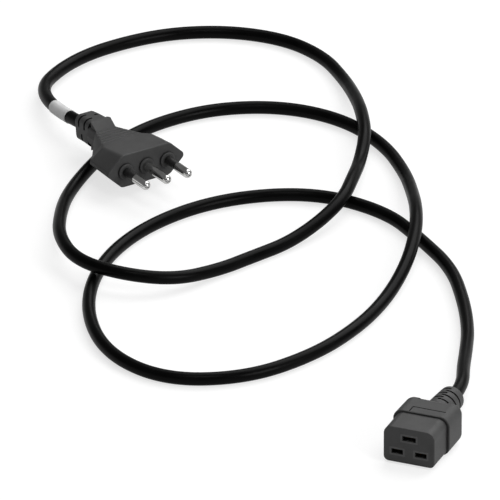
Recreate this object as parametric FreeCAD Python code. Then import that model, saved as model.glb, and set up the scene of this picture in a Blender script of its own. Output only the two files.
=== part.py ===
import FreeCAD, Part

import math
import os

from FreeCAD import Placement, Rotation, Vector

# Mains lead: a moulded C19 connector, a round black cord lying in loose loops, and a moulded plug
# with three round pins in a row.  Millimetres.  +Z is up and the lead lies on z = 0.
# The connector stands on its grip at the origin, with its mating face towards -Y.

# ---------------------------------------------------------------- cord
cord_d = 7.0
cord_lift = 0.05                 # under the cord, where it lies on the surface
core_d = 2.8                     # one insulated core
conductor_d = 1.6                # its bare copper
core_gap = 0.1                   # between neighbouring cores where they leave the sheath
conductor_clearance = 0.03       # round the copper inside its insulation

# ---------------------------------------------------------------- connector, outside
block_w = 28.0                   # front block that enters the inlet
block_h = 20.0
block_depth = 17.1
block_top_r = 4.5
block_bottom_r = 2.8
block_edge_r = 0.5               # round the mating face
grip_w = 31.2
grip_h = 22.0
grip_len = 20.2
grip_r = 5.4
grip_rear_r = 3.9
grip_edge_r = 0.6
grip_taper_h = 0.8               # its top is lower at its rear
boot_len = 22.3                  # strain relief behind the grip
boot_base_d = 15.8
boot_tip_d = 13.5
boot_droop = 3.0                 # degrees that the cord's weight bends it down
boot_slot_w = 1.4
boot_slot_depth = 2.0
boot_slot_pitch = 5.6
boot_slot_end = 3.2              # last slot to the tip
boot_slot_sweep = 196.0          # degrees round the boot, past its top and bottom
scoop_w = 16.0                   # hollow that leads the grip's top down to the boot
scoop_len = 6.0
scoop_drop = 2.6
frame_line_w = 0.7               # engraved corner line on the grip's top
frame_line_depth = 0.6
frame_left_x = -7.2
frame_right_x = 11.0
frame_setback = 6.0              # rear line behind the grip's front edge
frame_start = 0.9                # side line's start behind that edge

# ---------------------------------------------------------------- connector, inside
pole_spacing = 13.0              # line to neutral
earth_rise = 8.1                 # earth above line and neutral
pole_height = 6.2                # line and neutral above the block's underside
slot_w = 6.4
slot_h = 2.7
earth_slot_w = 7.5
chimney_wall = 1.0               # rim of the insert round each slot, flush with the face
chimney_r = 0.4
slot_r = 0.15
face_wall = 2.0                  # overmould in front of the insert's body
insert_front_wall = 2.2          # insert in front of each contact
insert_len = 17.0
insert_side_wall = 0.9
insert_r = 1.2
contact_wall = 0.6
contact_r = 0.3                  # outside bend of its folded corners
contact_inner_r = 0.1
contact_len = 12.0
contact_play = 0.1               # between a contact and its chamber
contact_seam = 0.5
crimp_len = 5.0
crimp_d = 3.4
sheath_strip = 2.0               # from the strain relief's root forward to the sheath's end
core_bend_r = 2.5
core_lead_share = 0.2            # of a core's way that runs straight at each of its ends

# ---------------------------------------------------------------- plug, outside
face_half_h = 9.5                # mating face: a long hexagon
face_flat = 15.0                 # half the flat edge
face_tip = 24.8                  # half the overall width
face_tip_r = 3.6
side_r_share = 0.7               # of that rounding, at the two side tips
plug_edge_r = 0.5                # round the mating face
shoulder_y = 18.7                # where the sides turn in
shoulder_half_h = 6.9
shoulder_tip_r = 2.9
grip_start_y = 24.0              # finger grip
grip_start_half_h = 5.9
grip_start_flat = 12.2
grip_start_tip = 19.5
grip_start_r = 2.2
waist_y = 39.5
waist_half_h = 4.9
waist_flat = 6.6
waist_tip = 7.6
waist_r = 1.2
rib_count = 5
rib_pitch = 3.1
rib_groove_r = 0.9
rib_groove_sink = 0.45           # depth of each groove
tab_half_h = 8.2                 # thumb stop behind the finger grip
tab_half_w = 6.0
tab_rise = 4.9                   # length of its ramp
tab_end_y = 46.5
tab_r = 1.2
tab_corner_r = 2.2               # its rear corners, seen from above
tab_foot_r = 0.3
tab_sink = 0.6                   # foot of its ramp below the waist's surface
tab_sink_lead = 0.8              # and ahead of the waist
plug_boot_len = 12.5
plug_boot_h = 15.0
plug_boot_w = 14.0
plug_boot_taper = 0.6            # less at the cord's end
plug_boot_r = 3.6
plug_boot_droop = 8.0
plug_slot_w = 1.4
plug_slot_depth = 2.2
plug_slot_pitch = 5.4
plug_slot_end = 3.4
plug_slot_gap = 1.6              # uncut web at the middle of each side

# ---------------------------------------------------------------- plug, pins and inside
pin_d = 5.0
pin_reach = 21.0                 # beyond the collar
pin_spacing = 13.0
pin_tip_r = 2.2
pin_root_d = 4.4                 # where it stands in the plug
pin_tail = 12.0                  # behind the mating face
pin_neck_d = 3.6                 # under the insulating sleeve
pin_cup_d = 4.0
pin_cup_len = 4.5
sleeve_d = 4.5
sleeve_len = 9.4                 # beyond the collar
sleeve_root = 2.0                # behind the mating face
collar_d = 8.6
collar_h = 1.3
collar_chamfer = 0.4
bridge_front = 3.2               # pin carrier behind the mating face
bridge_len = 5.0
bridge_half_w = 18.0
bridge_half_h = 4.4
bridge_r = 2.0
plug_strip_y = 34.5              # sheath's end inside the plug
plug_core_bend_r = 3.0

# ---------------------------------------------------------------- label sleeve
label_d = 7.9
label_len = 16.0
label_from_boot = 16.0
label_play = 0.1

# ---------------------------------------------------------------- where the plug lies
plug_spot = Vector(-243.7, 208.9, 15.7)          # centre of its mating face
plug_yaw = 55.0                                  # its pins' way, turned from -Y about +Z

# ---------------------------------------------------------------- cord's route, from the connector
cord_exit_run = 8.0              # straight out of the connector's boot
plug_exit_run = 57.0             # straight out of the plug's boot, through the label sleeve
cord_over_cord = 0.85            # air between two crossing strands
floor_z = cord_d / 2 + cord_lift
hump_z = floor_z + cord_d + cord_over_cord
rise_z = (floor_z + hump_z) / 2
route_middle = [
    Vector(-2.5, 52, floor_z + 6.0),
    Vector(-9, 69, floor_z + 4.0),
    Vector(-16, 90.5, floor_z + 1.5),
    Vector(-25, 117, floor_z),
    Vector(-39, 146.5, floor_z),
    Vector(-59, 180, floor_z),
    Vector(-85.5, 204.5, floor_z),
    Vector(-115.5, 228.5, floor_z),
    Vector(-159.5, 235, floor_z),
    Vector(-201.5, 209.5, floor_z),
    Vector(-226, 166.5, floor_z),
    Vector(-232, 116.5, floor_z),
    Vector(-219, 65, floor_z),
    Vector(-189.5, 22, floor_z),
    Vector(-149.5, 5.5, floor_z),
    Vector(-111, 24, floor_z),
    Vector(-88.5, 61, floor_z),
    Vector(-79, 99.5, floor_z),
    Vector(-77.5, 135.5, floor_z),
    Vector(-79.5, 167.5, rise_z),    # over the strand from the connector
    Vector(-85.5, 196, hump_z),
    Vector(-95.5, 222.5, hump_z),
    Vector(-108, 248, rise_z),
    Vector(-123, 275, floor_z),
    Vector(-144.5, 301, floor_z),
    Vector(-175.5, 321, floor_z),
    Vector(-211, 324, floor_z),
    Vector(-244.5, 308.5, floor_z),
    Vector(-267.5, 279.5, floor_z),
    Vector(-278.5, 246.5, floor_z),
    Vector(-280, 215, floor_z),
    Vector(-278.5, 185, floor_z),
    Vector(-270.5, 155.5, rise_z),   # over the left loop
    Vector(-258, 123, hump_z),
    Vector(-238.5, 100.5, hump_z),
    Vector(-211, 94.5, hump_z),
    Vector(-185.5, 106, rise_z),
    Vector(-171, 132.5, floor_z),
    Vector(-160.5, 153, floor_z),
    Vector(-149, 175, floor_z),
    Vector(-140, 198, rise_z),       # over the back of the left loop, then over the far strand
    Vector(-136, 220.5, hump_z),
    Vector(-140.5, 245, hump_z),
    Vector(-146.5, 269.5, rise_z),
    Vector(-153, 294.5, hump_z),
    Vector(-165, 319, hump_z),
    Vector(-178.5, 343, rise_z),
    Vector(-194, 366.5, floor_z),
    Vector(-214.5, 388, floor_z),
    Vector(-243.5, 400.5, floor_z),
    Vector(-279, 396.5, floor_z),
    Vector(-312, 376, floor_z),
    Vector(-339, 331.5, floor_z + 1.0),
]

up = Vector(0, 0, 1)
right = Vector(1, 0, 0)
back = Vector(0, 1, 0)


# ================================================================ shared shapes
def corner_arc(before, corner, after, radius):
    """First, middle and last point of the arc that rounds one corner of a path."""
    to_before = (before - corner).normalize()
    to_after = (after - corner).normalize()
    half_angle = to_before.getAngle(to_after) / 2
    reach = radius / math.tan(half_angle)
    bisector = (to_before + to_after).normalize()
    nearest = radius / math.sin(half_angle) - radius
    return corner + to_before * reach, corner + bisector * nearest, corner + to_after * reach


def rounded_outline(points, radii):
    """Closed wire through the points, with each corner rounded by its radius."""
    count = len(points)
    arcs = []
    for i in range(count):
        if radii[i] > 0:
            arcs.append(corner_arc(points[i - 1], points[i], points[(i + 1) % count], radii[i]))
        else:
            arcs.append((points[i], None, points[i]))
    edges = []
    for i in range(count):
        first, middle, last = arcs[i]
        if middle is not None:
            edges.append(Part.Arc(first, middle, last).toShape())
        onward = arcs[(i + 1) % count][0]
        if last.distanceToPoint(onward) > 1e-6:
            edges.append(Part.LineSegment(last, onward).toShape())
    return Part.Wire(edges)


def rounded_path(points, radii):
    """Open wire from the first point to the last: straight runs joined by tangent arcs."""
    edges = []
    last = points[0]
    for i in range(1, len(points) - 1):
        start, middle, end = corner_arc(points[i - 1], points[i], points[i + 1], radii[i - 1])
        edges.append(Part.LineSegment(last, start).toShape())
        edges.append(Part.Arc(start, middle, end).toShape())
        last = end
    edges.append(Part.LineSegment(last, points[-1]).toShape())
    return Part.Wire(edges)


def fitted_radii(points, wanted):
    """Bend radius at each inner point: the wanted one, or less where its runs are short."""
    radii = []
    for i in range(1, len(points) - 1):
        run_in = points[i] - points[i - 1]
        run_out = points[i + 1] - points[i]
        half_turn = run_in.getAngle(run_out) / 2
        radii.append(min(wanted, 0.45 * min(run_in.Length, run_out.Length) / math.tan(half_turn)))
    return radii


def rod_along(path, diameter):
    """Round rod that follows a path of lines and arcs."""
    start = path.Edges[0]
    direction = start.tangentAt(start.FirstParameter)
    circle = Part.Circle(start.valueAt(start.FirstParameter), direction, diameter / 2)
    return path.makePipeShell([Part.Wire(circle.toShape())], True, False)


def slab(y, width, height, radii, z_middle=0.0, x_middle=0.0):
    """Rounded rectangle in the plane y.  radii: bottom left, bottom right, top right, top left."""
    half_w = width / 2
    corners = [
        Vector(x_middle - half_w, y, z_middle - height / 2),
        Vector(x_middle + half_w, y, z_middle - height / 2),
        Vector(x_middle + half_w, y, z_middle + height / 2),
        Vector(x_middle - half_w, y, z_middle + height / 2),
    ]
    return rounded_outline(corners, radii)


def bar(y, length, width, height, radii, z_middle=0.0, x_middle=0.0):
    """Bar along +Y with a rounded rectangular section."""
    return Part.Face(slab(y, width, height, radii, z_middle, x_middle)).extrude(back * length)


def edges_in_plane(shape, y):
    """Edges that lie wholly in the plane y."""
    found = []
    for edge in shape.Edges:
        if abs(edge.BoundBox.YMin - y) < 1e-4 and abs(edge.BoundBox.YMax - y) < 1e-4:
            found.append(edge)
    return found


def bent_frame(root, length, droop, along):
    """Place, direction and up of a boot's centre line, which bends down evenly from its root."""
    turn = math.radians(droop) * along / length
    radius = length / math.radians(droop)
    place = root + back * (radius * math.sin(turn)) - up * (radius * (1 - math.cos(turn)))
    return place, back * math.cos(turn) - up * math.sin(turn), up * math.cos(turn) + back * math.sin(turn)


def bent_path(root, length, droop, lead):
    """Wire that starts ahead of the root, runs straight to it and then follows the boot's bend."""
    middle = bent_frame(root, length, droop, length / 2)[0]
    tip = bent_frame(root, length, droop, length)[0]
    edges = [Part.LineSegment(root - back * lead, root).toShape(), Part.Arc(root, middle, tip).toShape()]
    return Part.Wire(edges)


def core_offsets():
    """Where the three cores lie round the cord's centre: earth on top, then line and neutral."""
    ring = (core_d + core_gap) / math.sqrt(3)
    offsets = {}
    for name, angle in (("earth", 90), ("line", 210), ("neutral", 330)):
        turn = math.radians(angle)
        offsets[name] = Vector(ring * math.cos(turn), 0, ring * math.sin(turn))
    return offsets


def core_path(start, terminal, sheath_end, offset, bend_r):
    """Path of one core from inside its terminal, straight out, across, and straight into the sheath."""
    end = sheath_end + offset
    lead = (end.y - terminal.y) * core_lead_share
    knee_a = Vector(terminal.x, terminal.y + lead, terminal.z)
    knee_b = Vector(end.x, end.y - lead, end.z)
    return rounded_path([start, knee_a, knee_b, end], fitted_radii([terminal, knee_a, knee_b, end], bend_r))


def make_core(copper_start, terminal, sheath_end, offset, bend_r):
    """One core: its insulation, its copper, and the room it takes in the moulding round it."""
    outer = core_path(terminal, terminal, sheath_end, offset, bend_r)
    copper = rod_along(core_path(copper_start, terminal, sheath_end, offset, bend_r), conductor_d)
    bore = rod_along(outer, conductor_d + 2 * conductor_clearance)
    room = rod_along(outer, core_d)
    return room.cut(bore), copper, room


nodes = {}
offsets = core_offsets()

# ================================================================ C19 connector
boot_reach = bent_frame(Vector(0, 0, 0), boot_len, boot_droop, boot_len)[0].y
tip_lean = boot_tip_d / 2 * math.sin(math.radians(boot_droop))
mate_y = -(block_depth + grip_len + boot_reach + tip_lean) / 2
grip_y = mate_y + block_depth
root_y = grip_y + grip_len
middle_z = grip_h / 2
block_z = middle_z - block_h / 2
pole_z = block_z + pole_height
boot_root = Vector(0, root_y, middle_z)

poles = {
    "line": (Vector(-pole_spacing / 2, 0, pole_z), slot_w),
    "neutral": (Vector(pole_spacing / 2, 0, pole_z), slot_w),
    "earth": (Vector(0, 0, pole_z + earth_rise), earth_slot_w),
}


def make_insert():
    """Moulded carrier of the three contacts: solid body, and body with its chambers open."""
    left = -pole_spacing / 2 - slot_w / 2 - chimney_wall - insert_side_wall
    low = pole_z - slot_h / 2 - chimney_wall - insert_side_wall
    high = pole_z + earth_rise + slot_h / 2 + chimney_wall + insert_side_wall
    body_y = mate_y + face_wall
    top_left = -earth_slot_w / 2 - chimney_wall - insert_side_wall
    waist = pole_z + slot_h / 2 + chimney_wall + insert_side_wall
    outline = [Vector(left, body_y, low), Vector(-left, body_y, low), Vector(-left, body_y, waist),
               Vector(-top_left, body_y, high), Vector(top_left, body_y, high), Vector(left, body_y, waist)]
    solid = Part.Face(rounded_outline(outline, [insert_r] * 6)).extrude(back * insert_len)
    for place, width in poles.values():
        solid = solid.fuse(bar(mate_y, face_wall + insert_r, width + 2 * chimney_wall,
                               slot_h + 2 * chimney_wall, [chimney_r] * 4, place.z, place.x))
    solid = solid.removeSplitter()
    opened = solid
    chamber_y = mate_y + face_wall + insert_front_wall
    for place, width in poles.values():
        slot = bar(mate_y - 1, chamber_y - mate_y + 2, width, slot_h, [slot_r] * 4, place.z, place.x)
        chamber = bar(chamber_y, insert_len, contact_outer_w(width) + 2 * contact_play,
                      contact_outer_h() + 2 * contact_play, [contact_r] * 4, place.z, place.x)
        opened = opened.cut(slot).cut(chamber)
    return solid, opened


def contact_outer_w(width):
    """Contact's width over its walls."""
    return width + contact_wall


def contact_outer_h():
    """Contact's height over its walls."""
    return slot_h + 2 * contact_wall


def make_contact(place, width):
    """Folded brass contact: open box with a seam below, closed at the rear by its crimp barrel."""
    front = mate_y + face_wall + insert_front_wall + contact_play
    outer_w = contact_outer_w(width)
    outer_h = contact_outer_h()
    shape = bar(front, contact_len, outer_w, outer_h, [contact_r] * 4, place.z, place.x)
    shape = shape.cut(bar(front - 1, contact_len + 1 - contact_wall, outer_w - 2 * contact_wall,
                          outer_h - 2 * contact_wall, [contact_inner_r] * 4, place.z, place.x))
    seam = Part.makeBox(contact_seam, contact_len, outer_h / 2,
                        Vector(place.x - contact_seam / 2, front - 1, place.z - outer_h))
    seam.translate(up * (outer_h / 4))
    shape = shape.cut(seam)
    barrel_y = front + contact_len - contact_wall
    barrel = Part.makeCylinder(crimp_d / 2, crimp_len, Vector(place.x, barrel_y, place.z), back)
    shape = shape.fuse(barrel).removeSplitter()
    bore_y = barrel_y + contact_wall
    bore = Part.makeCylinder(conductor_d / 2 + conductor_clearance, crimp_len,
                             Vector(place.x, bore_y, place.z), back)
    return shape.cut(bore), bore_y, barrel_y + crimp_len


def make_connector_outside():
    """Front block, grip, bent boot with its slots, scoop and engraved line, still solid inside."""
    block = bar(mate_y, block_depth + 1, block_w, block_h,
                [block_bottom_r, block_bottom_r, block_top_r, block_top_r], middle_z)
    block = block.makeFillet(block_edge_r, edges_in_plane(block, mate_y))
    grip = bar(grip_y, grip_len, grip_w, grip_h, [grip_r] * 4, middle_z)
    end = Part.Face(slab(grip_y, grip_w, grip_h, [grip_r] * 4, middle_z))
    sloping = end.extrude(back * grip_len - up * grip_taper_h)
    upper = Part.makeBox(2 * grip_w, grip_len, grip_h, Vector(-grip_w, grip_y, middle_z))
    grip = grip.cut(upper).fuse(sloping.common(upper)).removeSplitter()
    grip = grip.makeFillet(grip_rear_r, edges_in_plane(grip, root_y))
    grip = grip.makeFillet(grip_edge_r, edges_in_plane(grip, grip_y))
    side = [Vector(0, root_y - scoop_len, grip_h + 1), Vector(0, root_y - scoop_len, grip_h),
            Vector(0, root_y + 0.1, grip_h - scoop_drop), Vector(0, root_y + 0.1, grip_h + 1)]
    scoop = Part.Face(Part.makePolygon(side + side[:1])).extrude(right * scoop_w)
    scoop.translate(right * (-scoop_w / 2))
    grip = grip.cut(scoop)
    rear_line = Part.makeBox(frame_right_x - frame_left_x, frame_line_w, 2 * frame_line_depth,
                             Vector(frame_left_x, grip_y + frame_setback, grip_h - frame_line_depth))
    left_line = Part.makeBox(frame_line_w, frame_setback - frame_start + frame_line_w, 2 * frame_line_depth,
                             Vector(frame_left_x, grip_y + frame_start, grip_h - frame_line_depth))
    grip = grip.cut(rear_line.fuse(left_line))

    rings = []
    for i in range(4):
        along = boot_len * i / 3
        place, direction, _ = bent_frame(boot_root, boot_len, boot_droop, along)
        radius = (boot_base_d + (boot_tip_d - boot_base_d) * i / 3) / 2
        if i == 0:
            rings.append(Part.Wire(Part.Circle(place - back * grip_rear_r, back, radius).toShape()))
        rings.append(Part.Wire(Part.Circle(place, direction, radius).toShape()))
    boot = Part.makeLoft(rings, True, False)
    for side_sign, first in ((-1, 0.0), (1, boot_slot_pitch / 2)):
        along = boot_len - boot_slot_end - first
        while along > boot_slot_w * 2:
            boot = boot.cut(boot_slot(along, side_sign))
            along -= boot_slot_pitch
    return block.fuse(grip).fuse(boot).removeSplitter()


def boot_slot(along, side_sign):
    """Slot round one side of the boot, square to its centre line."""
    place, direction, local_up = bent_frame(boot_root, boot_len, boot_droop, along)
    radius = (boot_base_d + (boot_tip_d - boot_base_d) * along / boot_len) / 2
    low = place + local_up * (radius - boot_slot_depth) - direction * (boot_slot_w / 2)
    high = place + local_up * (radius + 1) - direction * (boot_slot_w / 2)
    face = Part.Face(Part.makePolygon([low, high, high + direction * boot_slot_w,
                                       low + direction * boot_slot_w, low]))
    start = (180 - boot_slot_sweep) / 2
    face.rotate(place, direction, side_sign * start)
    return face.revolve(place, direction, side_sign * boot_slot_sweep)


insert_solid, insert = make_insert()
overmould = make_connector_outside()
overmould = overmould.cut(insert_solid)

strip = boot_root - back * sheath_strip
connector_tail = rod_along(bent_path(boot_root, boot_len, boot_droop, sheath_strip), cord_d)
overmould = overmould.cut(connector_tail)
nodes["connector_insert"] = insert
nodes["connector_cord_tail"] = connector_tail
for name, (place, width) in poles.items():
    contact, bore_y, barrel_end = make_contact(place, width)
    copper_start = Vector(place.x, bore_y + contact_play, place.z)
    core_start = Vector(place.x, barrel_end + contact_play, place.z)
    core, copper, core_room = make_core(copper_start, core_start, strip, offsets[name], core_bend_r)
    nodes["connector_" + name + "_contact"] = contact
    nodes["connector_" + name + "_core"] = core
    nodes["connector_" + name + "_copper"] = copper
    crimp_start = Vector(place.x, barrel_end - crimp_len, place.z)
    crimp_room = Part.makeCylinder(crimp_d / 2, crimp_len, crimp_start, back)
    gap_room = Part.makeCylinder(core_d / 2, 2 * contact_play, core_start - back * (2 * contact_play), back)
    overmould = overmould.cut(crimp_room).cut(core_room).cut(gap_room)
nodes["connector_overmould"] = overmould


# ================================================================ plug, in its own frame: nose towards -Y
def hexagon(y, half_h, flat, tip, radius):
    """Long hexagon in the plane y, rounded at its two tips and four shoulders."""
    points = [Vector(-flat, y, -half_h), Vector(flat, y, -half_h), Vector(tip, y, 0),
              Vector(flat, y, half_h), Vector(-flat, y, half_h), Vector(-tip, y, 0)]
    side_r = radius * side_r_share
    radii = [radius, radius, side_r, radius, radius, side_r]
    return rounded_outline(points, radii)


def make_plug_outside():
    """Hexagonal nose that thins to a ribbed waist, thumb stop and slotted square boot."""
    face = hexagon(0, face_half_h, face_flat, face_tip, face_tip_r)
    shoulder = hexagon(shoulder_y, shoulder_half_h, face_flat, face_tip, shoulder_tip_r)
    grip_start = hexagon(grip_start_y, grip_start_half_h, grip_start_flat, grip_start_tip, grip_start_r)
    waist = hexagon(waist_y, waist_half_h, waist_flat, waist_tip, waist_r)
    neck = hexagon(tab_end_y, waist_half_h, waist_flat, waist_tip, waist_r)
    nose = Part.makeLoft([face, shoulder], True, True)
    nose = nose.makeFillet(plug_edge_r, edges_in_plane(nose, 0))
    body = nose.fuse(Part.makeLoft([shoulder, grip_start, waist, neck], True, True))
    for i in range(rib_count):
        y = grip_start_y + rib_pitch * (i + 0.5)
        share = (y - grip_start_y) / (waist_y - grip_start_y)
        surface = grip_start_half_h + (waist_half_h - grip_start_half_h) * share
        for sign in (-1, 1):
            centre = Vector(-face_tip, y, sign * (surface + rib_groove_r - rib_groove_sink))
            body = body.cut(Part.makeCylinder(rib_groove_r, 2 * face_tip, centre, right))
    ramp_start = waist_y - tab_sink_lead
    ramp_end = waist_y + tab_rise
    foot = waist_half_h - tab_sink
    side = [Vector(-tab_half_w, ramp_start, -foot), Vector(-tab_half_w, ramp_end, -tab_half_h),
            Vector(-tab_half_w, tab_end_y, -tab_half_h), Vector(-tab_half_w, tab_end_y, tab_half_h),
            Vector(-tab_half_w, ramp_end, tab_half_h), Vector(-tab_half_w, ramp_start, foot)]
    tab_outline = rounded_outline(side, [tab_foot_r, tab_r, tab_foot_r, tab_foot_r, tab_r, tab_foot_r])
    tab = Part.Face(tab_outline).extrude(right * (2 * tab_half_w))
    low = -face_half_h
    plan = [Vector(-tab_half_w, ramp_start - 1, low), Vector(tab_half_w, ramp_start - 1, low),
            Vector(tab_half_w, tab_end_y, low), Vector(-tab_half_w, tab_end_y, low)]
    plan_outline = rounded_outline(plan, [0, 0, tab_corner_r, tab_corner_r])
    tab = tab.common(Part.Face(plan_outline).extrude(up * (2 * face_half_h)))
    body = body.fuse(tab)
    sections = []
    for i in range(4):
        along = plug_boot_len * i / 3
        sections.append(plug_boot_section(along, 0.0))
    boot = Part.makeLoft(sections, True, False)
    body = body.fuse(boot).removeSplitter()
    for along, signs in plug_slots():
        for sign_x, sign_z in signs:
            body = body.cut(plug_slot(along, sign_x, sign_z))
    collars = Part.makeCylinder(collar_d / 2, collar_h + 1, Vector(0, -collar_h, 0), back)
    collars = collars.makeChamfer(collar_chamfer, edges_in_plane(collars, -collar_h))
    for shift in (-pin_spacing, 0, pin_spacing):
        body = body.fuse(collars.translated(right * shift))
    return body.removeSplitter()


def plug_boot_section(along, inset):
    """Rounded square across the plug's boot, some way along its bent centre line."""
    place, direction, local_up = bent_frame(plug_root, plug_boot_len, plug_boot_droop, along)
    taper = plug_boot_taper * along / plug_boot_len
    half_w = (plug_boot_w - taper) / 2 - inset
    half_h = (plug_boot_h - taper) / 2 - inset
    radius = plug_boot_r - inset
    points = [place - right * half_w - local_up * half_h, place + right * half_w - local_up * half_h,
              place + right * half_w + local_up * half_h, place - right * half_w + local_up * half_h]
    return rounded_outline(points, [radius] * 4)


def plug_slots():
    """Slots of the plug's boot: opposite corners at one station, the other two half a pitch on."""
    stations = []
    along = plug_boot_len - plug_slot_end
    first_pair = True
    while along > plug_slot_w:
        stations.append((along, ((-1, 1), (1, -1)) if first_pair else ((-1, -1), (1, 1))))
        along -= plug_slot_pitch / 2
        first_pair = not first_pair
    return stations


def plug_slot(along, sign_x, sign_z):
    """Slot that wraps one corner of the plug's boot."""
    place, direction, local_up = bent_frame(plug_root, plug_boot_len, plug_boot_droop, along)
    core = Part.Face(plug_boot_section(along, plug_slot_depth))
    core.translate(direction * (-plug_slot_w / 2))
    low = place - direction * (plug_slot_w / 2) + right * (sign_x * plug_slot_gap) \
        + local_up * (sign_z * plug_slot_gap)
    far_x = right * (sign_x * plug_boot_w)
    far_z = local_up * (sign_z * plug_boot_h)
    quarter = Part.Face(Part.makePolygon([low, low + far_x, low + far_x + far_z, low + far_z, low]))
    return quarter.cut(core).extrude(direction * plug_slot_w)


def make_pin(x, sleeved):
    """Domed round pin with a thinner root and a solder cup, necked under its sleeve where it has one."""
    tip_y = -collar_h - pin_reach
    tail_y = bridge_front + bridge_len
    pin = Part.makeCylinder(pin_d / 2, pin_reach, Vector(x, tip_y, 0), back)
    pin = pin.makeFillet(pin_tip_r, edges_in_plane(pin, tip_y))
    root = Part.makeCylinder(pin_root_d / 2, collar_h + tail_y, Vector(x, -collar_h, 0), back)
    cup = Part.makeCylinder(pin_cup_d / 2, pin_tail - tail_y, Vector(x, tail_y, 0), back)
    pin = pin.fuse(root).fuse(cup).removeSplitter()
    cup_bore = Part.makeCylinder(conductor_d / 2 + conductor_clearance, pin_cup_len,
                                 Vector(x, pin_tail - pin_cup_len, 0), back)
    pin = pin.cut(cup_bore)
    sleeve = None
    if sleeved:
        front = -collar_h - sleeve_len
        length = sleeve_len + collar_h + sleeve_root
        sleeve = Part.makeCylinder(sleeve_d / 2, length, Vector(x, front, 0), back)
        neck = Part.makeCylinder(pin_neck_d / 2, length, Vector(x, front, 0), back)
        sleeve = sleeve.cut(neck)
        waste = Part.makeCylinder(pin_d, length, Vector(x, front, 0), back)
        pin = pin.cut(waste.cut(neck))
    return pin, sleeve


plug_root = Vector(0, tab_end_y, 0)
plug_strip = Vector(0, plug_strip_y, 0)
plug_tip, plug_exit_dir, _ = bent_frame(plug_root, plug_boot_len, plug_boot_droop, plug_boot_len)

plug_nodes = {}
plug_mould = make_plug_outside()
bridge = bar(bridge_front, bridge_len, 2 * bridge_half_w, 2 * bridge_half_h, [bridge_r] * 4)
plug_tail = rod_along(bent_path(plug_root, plug_boot_len, plug_boot_droop, tab_end_y - plug_strip_y), cord_d)
plug_mould = plug_mould.cut(bridge).cut(plug_tail)
for name, x, sleeved in (("line", -pin_spacing, True), ("earth", 0, False), ("neutral", pin_spacing, True)):
    pin, sleeve = make_pin(x, sleeved)
    passage_d = sleeve_d if sleeved else pin_root_d
    passage = Part.makeCylinder(passage_d / 2, collar_h + 1 + sleeve_root, Vector(x, -collar_h - 1, 0), back)
    shank_len = bridge_front + bridge_len - sleeve_root
    shank = Part.makeCylinder(pin_root_d / 2, shank_len, Vector(x, sleeve_root, 0), back)
    cup_room = Part.makeCylinder(pin_cup_d / 2, pin_tail, Vector(x, 0, 0), back)
    bridge = bridge.cut(shank)
    plug_mould = plug_mould.cut(passage).cut(shank).cut(cup_room)
    copper_start = Vector(x, pin_tail - pin_cup_len + contact_play, 0)
    core_start = Vector(x, pin_tail + contact_play, 0)
    core, copper, core_room = make_core(copper_start, core_start, plug_strip, offsets[name], plug_core_bend_r)
    plug_nodes["plug_" + name + "_pin"] = pin
    plug_nodes["plug_" + name + "_core"] = core
    plug_nodes["plug_" + name + "_copper"] = copper
    if sleeve is not None:
        plug_nodes["plug_" + name + "_sleeve"] = sleeve
    gap_room = Part.makeCylinder(core_d / 2, 2 * contact_play, Vector(x, pin_tail - contact_play, 0), back)
    plug_mould = plug_mould.cut(core_room).cut(gap_room)
plug_nodes["plug_bridge"] = bridge
plug_nodes["plug_cord_tail"] = plug_tail
plug_nodes["plug_overmould"] = plug_mould

plug_turn = Rotation(up, plug_yaw)
plug_placement = Placement(plug_spot, plug_turn)
for name, shape in plug_nodes.items():
    placed = shape.copy()
    placed.Placement = plug_placement.multiply(placed.Placement)
    nodes[name] = placed


# ================================================================ cord and its label sleeve
def cord_radii(points):
    """Arc radius at each inner point: 0.45 of the shorter run over the tangent of half the turn."""
    radii = []
    for i in range(1, len(points) - 1):
        run_in = points[i] - points[i - 1]
        run_out = points[i + 1] - points[i]
        half_turn = run_in.getAngle(run_out) / 2
        radii.append(0.45 * min(run_in.Length, run_out.Length) / math.tan(half_turn))
    return radii


boot_tip, boot_exit_dir, _ = bent_frame(boot_root, boot_len, boot_droop, boot_len)
plug_exit = plug_placement.multVec(plug_tip)
plug_exit_way = plug_turn.multVec(plug_exit_dir)
route = [boot_tip, boot_tip + boot_exit_dir * cord_exit_run] + route_middle
route += [plug_exit + plug_exit_way * plug_exit_run, plug_exit]
radii = cord_radii(route)
cord_path = rounded_path(route, radii)
nodes["cord"] = rod_along(cord_path, cord_d)

sleeve_start = plug_exit + plug_exit_way * label_from_boot
label = Part.makeCylinder(label_d / 2, label_len, sleeve_start, plug_exit_way)
label_bore = Part.makeCylinder(cord_d / 2 + label_play, label_len, sleeve_start, plug_exit_way)
nodes["label_sleeve"] = label.cut(label_bore)

# ================================================================ write
os.makedirs("parts", exist_ok=True)
for name, shape in nodes.items():
    shape.exportStep("parts/" + name + ".step")

section = math.pi * cord_d * cord_d / 4
print("cord length %.1f mm, tightest bend %.1f mm" % (cord_path.Length, min(radii)))
print("cord volume over section times length %.5f" % (nodes["cord"].Volume / section / cord_path.Length))
print("bend radii " + " ".join("%.0f" % radius for radius in radii))
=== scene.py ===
import math

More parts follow.
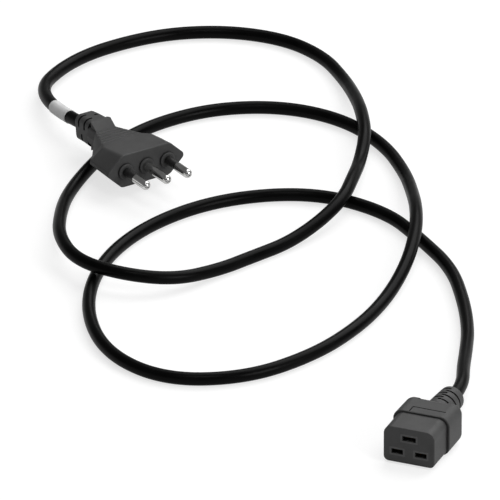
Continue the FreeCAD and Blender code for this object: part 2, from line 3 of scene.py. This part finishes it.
import bpy
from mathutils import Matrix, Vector


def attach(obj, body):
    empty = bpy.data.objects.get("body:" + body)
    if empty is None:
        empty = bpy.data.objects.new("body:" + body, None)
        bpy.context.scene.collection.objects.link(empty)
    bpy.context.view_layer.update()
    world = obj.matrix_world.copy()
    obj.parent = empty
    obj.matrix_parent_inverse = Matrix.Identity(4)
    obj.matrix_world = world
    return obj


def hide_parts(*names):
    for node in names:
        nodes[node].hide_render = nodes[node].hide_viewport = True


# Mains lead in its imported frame: the C19 connector at the origin, the cord in loose loops on the
# floor, and the plug with its round pins.  Metres.  CAD nodes keep their shapes and get finishes;
# the cord and its label are made here on one smooth route.
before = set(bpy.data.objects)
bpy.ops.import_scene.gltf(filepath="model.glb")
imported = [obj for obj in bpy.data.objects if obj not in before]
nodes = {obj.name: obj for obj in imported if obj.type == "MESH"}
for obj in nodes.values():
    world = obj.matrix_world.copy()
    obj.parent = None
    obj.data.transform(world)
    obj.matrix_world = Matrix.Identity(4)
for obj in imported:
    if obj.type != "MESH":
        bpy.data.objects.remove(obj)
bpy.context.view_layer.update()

# ---------------------------------------------------------------- camera
LOOKS_AT = Vector((-0.16722, 0.16635, 0.0))
AZIMUTH = math.radians(22.1)
ELEVATION = math.radians(26.8)
DISTANCE = 8.2
LENS = 1125.65
SENSOR = 36.0
FARTHEST_SEEN = 50.0

# ---------------------------------------------------------------- light
# Lamps: place from the middle of the object, side of the square, power in watts.
LAMPS = {
    "key": ((0.3, 1.45, 1.85), 2.3, 43.0),
    "front": ((0.43, -0.95, 2.05), 0.5, 5.0),
    "side": ((2.0, -0.6, 0.9), 1.0, 18.0),
}
FILL_FROM_LEFT = 0.1
FILL_FROM_RIGHT = 0.58
HORIZON_SEEN = 0.4                 # world strength to camera and mirrored rays, low down
OVERHEAD_SEEN = 0.13               # and higher up
HORIZON_ENDS = (0.02, 0.25)        # upward part of the direction where it starts and stops to fade

# ---------------------------------------------------------------- floor
FLOOR_SIDE = 14.0
FLOOR_AT = (-0.15, 0.15, -0.0002)
FLOOR_TONE = 0.38
FLOOR_GLOW = 0.69                  # to the camera only, so that the paper is white
FLOOR_MIRRORED_GLOW = 0.42

# ---------------------------------------------------------------- cord
CORD_D = 0.007
FLOOR_Z = CORD_D / 2 + 0.00005
HUMP_Z = FLOOR_Z + CORD_D + 0.00085
RISE_Z = (FLOOR_Z + HUMP_Z) / 2
CONNECTOR_EXIT = Vector((0.0, 0.029618, 0.010416))
CONNECTOR_RUN = Vector((0.0, 0.037607, 0.009998))
PLUG_RUN = Vector((-0.338234, 0.275093, 0.006896))
PLUG_EXIT = Vector((-0.291997, 0.242718, 0.014829))
ROUTE = [
    CONNECTOR_EXIT,
    CONNECTOR_RUN,
    Vector((-0.0025, 0.052, FLOOR_Z + 0.0060)),
    Vector((-0.009, 0.069, FLOOR_Z + 0.0040)),
    Vector((-0.016, 0.0905, FLOOR_Z + 0.0015)),
    Vector((-0.025, 0.117, FLOOR_Z)),
    Vector((-0.039, 0.1465, FLOOR_Z)),
    Vector((-0.059, 0.180, FLOOR_Z)),
    Vector((-0.0855, 0.2045, FLOOR_Z)),
    Vector((-0.1155, 0.2285, FLOOR_Z)),
    Vector((-0.1595, 0.235, FLOOR_Z)),
    Vector((-0.2015, 0.2095, FLOOR_Z)),
    Vector((-0.226, 0.1665, FLOOR_Z)),
    Vector((-0.232, 0.1165, FLOOR_Z)),
    Vector((-0.219, 0.065, FLOOR_Z)),
    Vector((-0.1895, 0.022, FLOOR_Z)),
    Vector((-0.1495, 0.0055, FLOOR_Z)),
    Vector((-0.111, 0.024, FLOOR_Z)),
    Vector((-0.0885, 0.061, FLOOR_Z)),
    Vector((-0.079, 0.0995, FLOOR_Z)),
    Vector((-0.0775, 0.1355, FLOOR_Z)),
    Vector((-0.0795, 0.1675, RISE_Z)),     # over the strand from the connector
    Vector((-0.0855, 0.196, HUMP_Z)),
    Vector((-0.0955, 0.2225, HUMP_Z)),
    Vector((-0.108, 0.248, RISE_Z)),
    Vector((-0.123, 0.275, FLOOR_Z)),
    Vector((-0.1445, 0.301, FLOOR_Z)),
    Vector((-0.1755, 0.321, FLOOR_Z)),
    Vector((-0.211, 0.324, FLOOR_Z)),
    Vector((-0.2445, 0.3085, FLOOR_Z)),
    Vector((-0.2675, 0.2795, FLOOR_Z)),
    Vector((-0.2785, 0.2465, FLOOR_Z)),
    Vector((-0.280, 0.215, FLOOR_Z)),
    Vector((-0.2785, 0.185, FLOOR_Z)),
    Vector((-0.2705, 0.1555, RISE_Z)),     # over the left loop
    Vector((-0.258, 0.123, HUMP_Z)),
    Vector((-0.2385, 0.1005, HUMP_Z)),
    Vector((-0.211, 0.0945, HUMP_Z)),
    Vector((-0.1855, 0.106, RISE_Z)),
    Vector((-0.171, 0.1325, FLOOR_Z)),
    Vector((-0.1605, 0.153, FLOOR_Z)),
    Vector((-0.149, 0.175, FLOOR_Z)),
    Vector((-0.140, 0.198, RISE_Z)),       # over the back of the left loop, then over the far strand
    Vector((-0.136, 0.2205, HUMP_Z)),
    Vector((-0.1405, 0.245, HUMP_Z)),
    Vector((-0.1465, 0.2695, RISE_Z)),
    Vector((-0.153, 0.2945, HUMP_Z)),
    Vector((-0.165, 0.319, HUMP_Z)),
    Vector((-0.1785, 0.343, RISE_Z)),
    Vector((-0.194, 0.3665, FLOOR_Z)),
    Vector((-0.2145, 0.388, FLOOR_Z)),
    Vector((-0.2435, 0.4005, FLOOR_Z)),
    Vector((-0.279, 0.3965, FLOOR_Z)),
    Vector((-0.312, 0.376, FLOOR_Z)),
    Vector((-0.339, 0.3315, FLOOR_Z + 0.0010)),
    PLUG_RUN,
    PLUG_EXIT,
]

# ---------------------------------------------------------------- finishes
# Painted shade: the moulding's colour darkens where walls stand close, in slots and at steps.
PAINTED_SHADE_REACH = 0.0035              # how near a facing wall darkens the moulding
PAINTED_SHADE_RANGE = (0.42, 0.9)         # open share of the view at which it is darkest, and not darkened
PAINTED_SHADE_TONE = 0.15                 # its darkest tone, as a share of the plain one

# ---------------------------------------------------------------- label
LABEL_FROM_PLUG = 0.0171
LABEL_LENGTH = 0.0190
LABEL_R = 0.00378
LABEL_FILM = 0.00013               # thickness of the film where it laps over itself
LABEL_TURN = 100.0                 # degrees round the cord where the lap ends


def srgb(level, tint=(0.0, 0.0, 0.0)):
    """Linear colour, with alpha, of a grey written as 0-255, with a small tint added to it."""
    colour = []
    for shift in tint:
        c = (level + shift) / 255
        colour.append(c / 12.92 if c <= 0.04045 else ((c + 0.055) / 1.055) ** 2.4)
    return (*colour, 1.0)


# ================================================================ materials
def new_material(name):
    """Material with a Principled shader; returns it with its nodes, links and shader."""
    material = bpy.data.materials.new(name)
    material.use_nodes = True
    tree = material.node_tree
    return material, tree.nodes, tree.links, tree.nodes["Principled BSDF"]


def object_coordinates(tree_nodes):
    """Output that gives the place on the object, in metres."""
    return tree_nodes.new("ShaderNodeTexCoord").outputs["Object"]


def noise(tree_nodes, links, place, scale, detail=3.0, stretch=None):
    """Noise texture; stretch squeezes the place along each axis first."""
    if stretch is not None:
        mapping = tree_nodes.new("ShaderNodeMapping")
        mapping.inputs["Scale"].default_value = stretch
        links.new(place, mapping.inputs["Vector"])
        place = mapping.outputs["Vector"]
    texture = tree_nodes.new("ShaderNodeTexNoise")
    texture.inputs["Scale"].default_value = scale
    texture.inputs["Detail"].default_value = detail
    links.new(place, texture.inputs["Vector"])
    return texture.outputs["Fac"]


def spread(tree_nodes, links, value, low, high, start=0.35, end=0.65):
    """Maps a texture's middle range onto low to high."""
    node = tree_nodes.new("ShaderNodeMapRange")
    node.inputs["From Min"].default_value = start
    node.inputs["From Max"].default_value = end
    node.inputs["To Min"].default_value = low
    node.inputs["To Max"].default_value = high
    links.new(value, node.inputs["Value"])
    return node.outputs["Result"]


def colour_between(tree_nodes, links, share, first, second):
    """Colour that goes from first to second with a texture."""
    mix = tree_nodes.new("ShaderNodeMix")
    mix.data_type = "RGBA"
    mix.inputs["A"].default_value = first
    mix.inputs["B"].default_value = second
    links.new(share, mix.inputs["Factor"])
    return mix.outputs["Result"]


def bump(tree_nodes, links, height, distance, strength=1.0, under=None):
    """Bump of a real depth in metres, laid over another one where given."""
    node = tree_nodes.new("ShaderNodeBump")
    node.inputs["Distance"].default_value = distance
    node.inputs["Strength"].default_value = strength
    links.new(height, node.inputs["Height"])
    if under is not None:
        links.new(under, node.inputs["Normal"])
    return node.outputs["Normal"]


def painted_shade_in_hollows(tree_nodes, links, base, dark):
    """The base colour, going to dark in slots and narrow steps: painted shade, strongest where walls
    stand closest.
    """
    open_sky = tree_nodes.new("ShaderNodeAmbientOcclusion")
    open_sky.samples = 8
    open_sky.inputs["Distance"].default_value = PAINTED_SHADE_REACH
    mix = tree_nodes.new("ShaderNodeMix")
    mix.data_type = "RGBA"
    mix.inputs["A"].default_value = dark
    links.new(base, mix.inputs["B"])
    openness = spread(tree_nodes, links, open_sky.outputs["AO"], 0.0, 1.0, *PAINTED_SHADE_RANGE)
    links.new(openness, mix.inputs["Factor"])
    return mix.outputs["Result"]


def moulded_plastic(name, level, roughness, grain=0.00003, specular=0.5):
    """Satin moulded PVC: spark-eroded grain, faint flow clouds, a little handling gloss, and painted
    shade in slots and steps.
    """
    material, tree, links, shader = new_material(name)
    place = object_coordinates(tree)
    clouds = noise(tree, links, place, 90.0, 4.0)
    speckle = noise(tree, links, place, 2600.0, 2.0)
    flow = noise(tree, links, place, 38.0, 2.0, (1.0, 0.25, 1.0))
    base = colour_between(tree, links, spread(tree, links, clouds, 0.0, 1.0),
                          srgb(level - 3), srgb(level + 3))
    # Painted shade in slots and narrow steps is mixed into the base colour.
    links.new(painted_shade_in_hollows(tree, links, base, srgb(level * PAINTED_SHADE_TONE)), shader.inputs["Base Color"])
    links.new(spread(tree, links, flow, roughness - 0.05, roughness + 0.05), shader.inputs["Roughness"])
    rough = bump(tree, links, speckle, grain, 0.8)
    links.new(bump(tree, links, clouds, grain * 2.5, 0.5, rough), shader.inputs["Normal"])
    shader.inputs["Specular IOR Level"].default_value = specular
    return material


def sheath_plastic(name, level):
    """Extruded PVC sheath: nearly black, smooth, with faint lengthwise waviness and dust."""
    material, tree, links, shader = new_material(name)
    place = object_coordinates(tree)
    ripple = noise(tree, links, place, 160.0, 3.0)
    pores = noise(tree, links, place, 3400.0, 2.0)
    dust = noise(tree, links, place, 45.0, 4.0)
    base = colour_between(tree, links, spread(tree, links, dust, 0.0, 1.0),
                          srgb(level - 2), srgb(level + 3))
    links.new(base, shader.inputs["Base Color"])
    links.new(spread(tree, links, dust, 0.28, 0.38), shader.inputs["Roughness"])
    fine = bump(tree, links, pores, 0.000012, 0.6)
    links.new(bump(tree, links, ripple, 0.00008, 0.35, fine), shader.inputs["Normal"])
    shader.inputs["IOR"].default_value = 1.2
    shader.inputs["Specular IOR Level"].default_value = 0.3
    return material


def plated_metal(name, tint, roughness, ring_pitch=0.00022):
    """Turned and plated metal: faint tool rings, hairline scratches and a slight haze."""
    material, tree, links, shader = new_material(name)
    place = object_coordinates(tree)
    haze = noise(tree, links, place, 300.0, 4.0)
    scratches = noise(tree, links, place, 1500.0, 3.0, (1.0, 1.0, 0.12))
    links.new(spread(tree, links, haze, roughness - 0.02, roughness + 0.03), shader.inputs["Roughness"])
    base = colour_between(tree, links, spread(tree, links, haze, 0.0, 1.0), tint[0], tint[1])
    links.new(base, shader.inputs["Base Color"])
    links.new(bump(tree, links, scratches, ring_pitch * 0.008, 0.4), shader.inputs["Normal"])
    shader.inputs["Metallic"].default_value = 1.0
    return material


def label_film(name):
    """Matte grey wrap film: soft creases, a little uneven tone."""
    material, tree, links, shader = new_material(name)
    place = object_coordinates(tree)
    creases = noise(tree, links, place, 420.0, 3.0)
    tone = noise(tree, links, place, 150.0, 4.0)
    fibre = noise(tree, links, place, 5200.0, 1.0)
    base = colour_between(tree, links, spread(tree, links, tone, 0.0, 1.0), srgb(212), srgb(224))
    links.new(base, shader.inputs["Base Color"])
    links.new(spread(tree, links, tone, 0.42, 0.55), shader.inputs["Roughness"])
    fine = bump(tree, links, fibre, 0.000015, 0.5)
    links.new(bump(tree, links, creases, 0.00009, 0.5, fine), shader.inputs["Normal"])
    return material


def finish_nodes():
    """Gives every CAD node the material of its kind."""
    moulding = moulded_plastic("moulding", 66, 0.55, specular=0.3)
    insert = moulded_plastic("insert", 84, 0.55, specular=0.3)
    carrier = moulded_plastic("carrier", 88, 0.6)
    pin_sleeve = moulded_plastic("pin_sleeve", 30, 0.4, 0.00001)
    sheath = sheath_plastic("cord_sheath", 6)
    nickel = plated_metal("pin_metal", (srgb(216, (0, 0, -2)), srgb(230, (0, 0, -1))), 0.1)
    brass = plated_metal("contact", (srgb(196, (0, -24, -88)), srgb(210, (0, -18, -80))), 0.28)
    copper = plated_metal("copper", (srgb(200, (0, -70, -110)), srgb(212, (0, -62, -100))), 0.3)
    insulation = {
        "line": moulded_plastic("line_insulation", 84, 0.45, 0.00001),
        "neutral": moulded_plastic("neutral_insulation", 90, 0.45, 0.00001),
        "earth": moulded_plastic("earth_insulation", 110, 0.45, 0.00001),
    }
    by_node = {
        "connector_overmould": moulding,
        "plug_overmould": moulding,
        "connector_insert": insert,
        "plug_bridge": carrier,
        "connector_cord_tail": sheath,
        "plug_cord_tail": sheath,
        "cord": sheath,
    }
    for name in nodes:
        if name in by_node:
            material = by_node[name]
        elif name.endswith("_contact"):
            material = brass
        elif name.endswith("_copper"):
            material = copper
        elif name.endswith("_pin"):
            material = nickel
        elif name.endswith("_core"):
            material = insulation[name.split("_")[1]]
        else:
            material = pin_sleeve
        dress(nodes[name], material)
    return sheath


def dress(piece, material):
    """Puts one material on a piece."""
    piece.data.materials.clear()
    piece.data.materials.append(material)


# ================================================================ cord and label
def make_cord(sheath):
    """The free cord: one NURBS spline through the route, with a round section."""
    curve = bpy.data.curves.new("flex", "CURVE")
    curve.dimensions = "3D"
    curve.resolution_u = 16
    spline = curve.splines.new("NURBS")
    spline.points.add(len(ROUTE) - 1)
    for point, place in zip(spline.points, ROUTE):
        point.co = (*place, 1.0)
    spline.order_u = 3
    spline.use_endpoint_u = True
    curve.bevel_resolution = 10
    piece = bpy.data.objects.new("flex", curve)
    bpy.context.scene.collection.objects.link(piece)
    line = centre_line(piece)
    curve.bevel_depth = CORD_D / 2
    curve.materials.append(sheath)
    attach(piece, "root")
    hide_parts("cord")
    return piece, line


def centre_line(piece):
    """Points of the cord's smooth line, read while it has no bevel."""
    bpy.context.view_layer.update()
    mesh = bpy.data.meshes.new_from_object(piece)
    line = [vertex.co.copy() for vertex in mesh.vertices]
    bpy.data.meshes.remove(mesh)
    return line


def point_from_plug(line, distance):
    """Point of the line, and the direction there, at a distance from the plug's end."""
    walked = 0.0
    for near, far in zip(line[::-1], line[-2::-1]):
        step = (far - near).length
        if walked + step >= distance:
            direction = (far - near).normalized()
            return near + direction * (distance - walked), direction
        walked += step
    return line[0], Vector((0, 0, 1))


def make_label(line):
    """Film wrapped round the cord: a lap along it, slightly slack rims, closed at both ends."""
    stations = 36
    around = 72
    lap = math.radians(LABEL_TURN)
    rows = []
    for i in range(stations + 1):
        share = i / stations
        centre, direction = point_from_plug(line, LABEL_FROM_PLUG + share * LABEL_LENGTH)
        side = direction.cross(Vector((0, 0, 1))).normalized()
        over = side.cross(direction).normalized()
        slack = LABEL_FILM * 0.5 * (abs(2 * share - 1) ** 6)
        row = []
        for k in range(around):
            turn = 2 * math.pi * k / around
            past_lap = (turn - lap) % (2 * math.pi) / (2 * math.pi)
            thickness = LABEL_FILM * (1 - min(1.0, past_lap * 8)) if past_lap < 0.5 else 0.0
            radius = LABEL_R + thickness + slack
            row.append(centre + side * (radius * math.cos(turn)) + over * (radius * math.sin(turn)))
        if i in (0, stations):
            rim = [centre + (place - centre) * (CORD_D / 2 / (place - centre).length) for place in row]
            rows.extend([rim, row] if i == 0 else [row, rim])
        else:
            rows.append(row)
    vertices = [place for row in rows for place in row]
    faces = []
    for i in range(len(rows) - 1):
        for k in range(around):
            onward = (k + 1) % around
            faces.append((i * around + k, i * around + onward,
                          (i + 1) * around + onward, (i + 1) * around + k))
    mesh = bpy.data.meshes.new("label")
    mesh.from_pydata(vertices, [], faces)
    mesh.shade_smooth()
    piece = bpy.data.objects.new("label", mesh)
    bpy.context.scene.collection.objects.link(piece)
    piece.data.materials.append(label_film("label"))
    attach(piece, "root")
    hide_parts("label_sleeve")
    return piece


# ================================================================ stage, lights and camera
def make_floor():
    """Pale floor: white to the camera where nothing shades it, and it keeps the object's shadow."""
    bpy.ops.mesh.primitive_plane_add(size=FLOOR_SIDE, location=FLOOR_AT)
    floor = bpy.context.object
    floor.name = "floor"
    material = bpy.data.materials.new("floor")
    material.use_nodes = True
    tree = material.node_tree
    tree.nodes.clear()
    out = tree.nodes.new("ShaderNodeOutputMaterial")
    diffuse = tree.nodes.new("ShaderNodeBsdfDiffuse")
    diffuse.inputs["Color"].default_value = (FLOOR_TONE, FLOOR_TONE, FLOOR_TONE, 1)
    glow = tree.nodes.new("ShaderNodeEmission")
    glow.inputs["Color"].default_value = (1, 1, 1, 1)
    path = tree.nodes.new("ShaderNodeLightPath")
    mirrored = tree.nodes.new("ShaderNodeMath")
    mirrored.operation = "MULTIPLY"
    mirrored.inputs[1].default_value = FLOOR_MIRRORED_GLOW
    tree.links.new(path.outputs["Is Glossy Ray"], mirrored.inputs[0])
    lift = tree.nodes.new("ShaderNodeMath")
    lift.operation = "MULTIPLY_ADD"
    lift.inputs[1].default_value = FLOOR_GLOW
    tree.links.new(path.outputs["Is Camera Ray"], lift.inputs[0])
    tree.links.new(mirrored.outputs[0], lift.inputs[2])
    tree.links.new(lift.outputs[0], glow.inputs["Strength"])
    both = tree.nodes.new("ShaderNodeAddShader")
    tree.links.new(diffuse.outputs[0], both.inputs[0])
    tree.links.new(glow.outputs[0], both.inputs[1])
    tree.links.new(both.outputs[0], out.inputs["Surface"])
    floor.data.materials.append(material)


def make_world():
    """Fill light, stronger from the right; where it is seen or mirrored it fades upwards."""
    world = bpy.data.worlds.new("studio")
    bpy.context.scene.world = world
    world.use_nodes = True
    tree = world.node_tree
    background = tree.nodes["Background"]
    path = tree.nodes.new("ShaderNodeLightPath")
    seen = tree.nodes.new("ShaderNodeMath")
    seen.operation = "MAXIMUM"
    tree.links.new(path.outputs["Is Camera Ray"], seen.inputs[0])
    mirrored = tree.nodes.new("ShaderNodeMath")
    mirrored.operation = "MAXIMUM"
    tree.links.new(path.outputs["Is Glossy Ray"], mirrored.inputs[0])
    tree.links.new(path.outputs["Is Transmission Ray"], mirrored.inputs[1])
    tree.links.new(mirrored.outputs[0], seen.inputs[1])
    direction = tree.nodes.new("ShaderNodeTexCoord")
    parts = tree.nodes.new("ShaderNodeSeparateXYZ")
    tree.links.new(direction.outputs["Generated"], parts.inputs[0])
    sky = tree.nodes.new("ShaderNodeMapRange")
    sky.inputs["From Min"].default_value, sky.inputs["From Max"].default_value = HORIZON_ENDS
    sky.inputs["To Min"].default_value = HORIZON_SEEN
    sky.inputs["To Max"].default_value = OVERHEAD_SEEN
    tree.links.new(parts.outputs["Z"], sky.inputs["Value"])
    fill = tree.nodes.new("ShaderNodeMapRange")
    fill.inputs["From Min"].default_value = -1.0
    fill.inputs["To Min"].default_value = FILL_FROM_LEFT
    fill.inputs["To Max"].default_value = FILL_FROM_RIGHT
    tree.links.new(parts.outputs["X"], fill.inputs["Value"])
    strength = tree.nodes.new("ShaderNodeMix")
    tree.links.new(fill.outputs["Result"], strength.inputs["A"])
    tree.links.new(seen.outputs[0], strength.inputs["Factor"])
    tree.links.new(sky.outputs["Result"], strength.inputs["B"])
    tree.links.new(strength.outputs["Result"], background.inputs["Strength"])
    background.inputs["Color"].default_value = (1, 1, 1, 1)


def softbox(name, place, size, power):
    """Square area lamp that looks at the middle of the object."""
    lamp = bpy.data.lights.new(name, "AREA")
    lamp.shape = "SQUARE"
    lamp.size = size
    lamp.energy = power
    piece = bpy.data.objects.new(name, lamp)
    piece.location = LOOKS_AT + Vector(place)
    piece.rotation_euler = (-Vector(place)).to_track_quat("-Z", "Y").to_euler()
    bpy.context.scene.collection.objects.link(piece)


def make_camera():
    """Very long lens far away, for nearly parallel lines."""
    camera = bpy.data.cameras.new("camera")
    camera.lens = LENS
    camera.sensor_width = SENSOR
    camera.clip_end = FARTHEST_SEEN
    piece = bpy.data.objects.new("camera", camera)
    away = Vector((math.sin(AZIMUTH) * math.cos(ELEVATION), -math.cos(AZIMUTH) * math.cos(ELEVATION),
                   math.sin(ELEVATION)))
    piece.location = LOOKS_AT + away * DISTANCE
    piece.rotation_euler = (-away).to_track_quat("-Z", "Y").to_euler()
    bpy.context.scene.collection.objects.link(piece)
    bpy.context.scene.camera = piece


make_camera()
sheath = finish_nodes()
flex, line = make_cord(sheath)
label = make_label(line)
make_floor()
make_world()
for lamp_name, (place, size, power) in LAMPS.items():
    softbox(lamp_name, place, size, power)
bpy.context.scene.view_settings.view_transform = "Standard"
